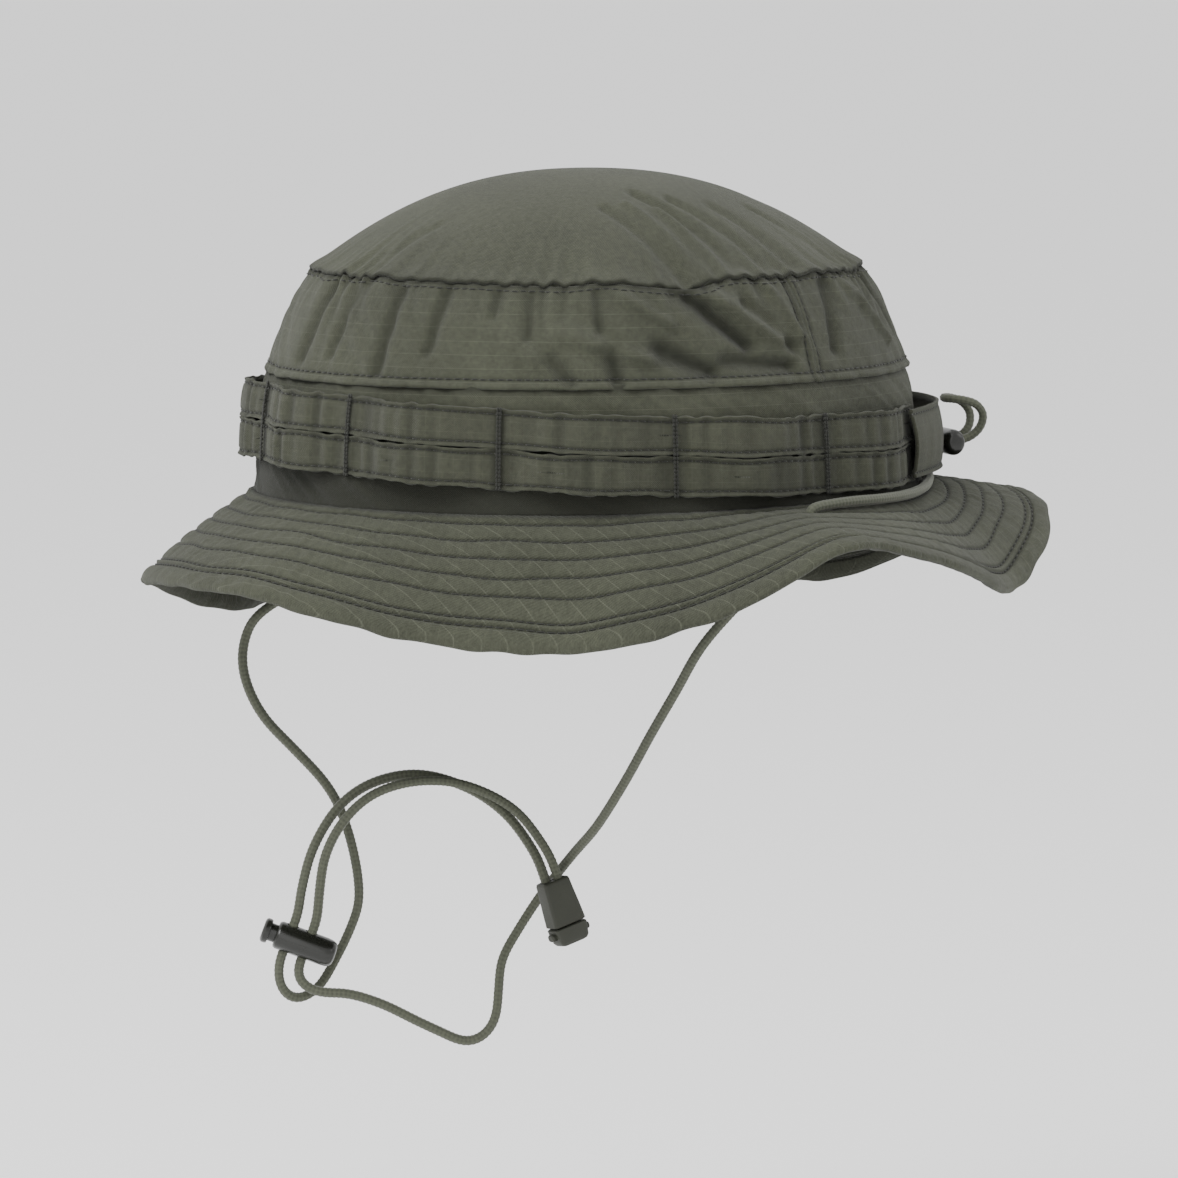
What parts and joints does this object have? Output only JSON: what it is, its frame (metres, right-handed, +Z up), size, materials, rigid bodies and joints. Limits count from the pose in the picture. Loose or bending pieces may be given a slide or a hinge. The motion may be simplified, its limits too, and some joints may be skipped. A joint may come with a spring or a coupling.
{
  "type": "boonie hat",
  "caption": "Soft ripstop boonie hat with domed crown, stitched wavy brim, double loop tapes, rear drawcord and a chin cord with sliding barrel lock",
  "frame": {"origin": "centre of the head opening, at the seam of brim and crown", "axes": "+Z up, front of the hat towards -Y, wearer's left towards +X"},
  "size_m": [0.2373, 0.2792, 0.2682],
  "materials": {
    "hat_cloth": "matte grey-green ripstop cotton blend",
    "tape_cloth": "matte grey-green folded ripstop strip",
    "lining_cloth": "matte lining cloth",
    "thread": "dark sewing thread",
    "cord": "braided olive cord",
    "dark_plastic": "semi-gloss olive-black plastic",
    "olive_plastic": "matte olive plastic",
    "spring_steel": "drawn wire"
  },
  "bodies": {
    "hat": {"crown_top": "hat_cloth", "crown_front_panel": "hat_cloth", "crown_rear_panel": "hat_cloth", "hat_band": "hat_cloth", "sweatband": "lining_cloth", "brim_upper": "hat_cloth", "brim_interlining": "lining_cloth", "brim_lower": "hat_cloth", "brim_edge_binding": "hat_cloth", "upper_loop_tape": "tape_cloth", "lower_loop_tape": "tape_cloth", "rear_keeper": "tape_cloth", "bar_tack_01": "thread", "bar_tack_02": "thread", "bar_tack_03": "thread", "bar_tack_04": "thread", "bar_tack_05": "thread", "bar_tack_06": "thread", "bar_tack_07": "thread", "bar_tack_08": "thread", "bar_tack_09": "thread", "rear_drawcord": "cord", "chin_cord_back": "cord", "chin_cord_left": "cord", "chin_cord_right": "cord", "cord_end_body": "olive_plastic"},
    "chin_lock": {"chin_lock_body": "dark_plastic", "chin_lock_spring": "spring_steel"},
    "chin_plunger": {"chin_lock_plunger": "dark_plastic"},
    "rear_lock": {"rear_lock_body": "dark_plastic", "rear_lock_spring": "spring_steel"},
    "rear_plunger": {"rear_lock_plunger": "dark_plastic"},
    "end_cap": {"cord_end_cap": "olive_plastic"}
  },
  "joints": [
    {"name": "chin_lock_slide", "type": "slide", "parent": "hat", "child": "chin_lock", "axis": [0.1198, 0.3291, 0.9367], "range_m": [-0.0035, 0.0035]},
    {"name": "chin_plunger_press", "type": "slide", "parent": "chin_lock", "child": "chin_plunger", "axis": [0.3204, 0.8802, -0.3502], "range_m": [0, 0.0016], "stiffness_N_per_m": 200},
    {"name": "rear_lock_slide", "type": "slide", "parent": "hat", "child": "rear_lock", "axis": [0, 1, 0], "range_m": [-0.0015, 0.0005]},
    {"name": "rear_plunger_press", "type": "slide", "parent": "rear_lock", "child": "rear_plunger", "axis": [1, 0, 0], "range_m": [0, 0.0016], "stiffness_N_per_m": 200},
    {"name": "end_cap_pull", "type": "slide", "parent": "hat", "child": "end_cap", "axis": [0.1057, 0.2904, -0.9511], "range_m": [0, 0.006]}
  ]
}
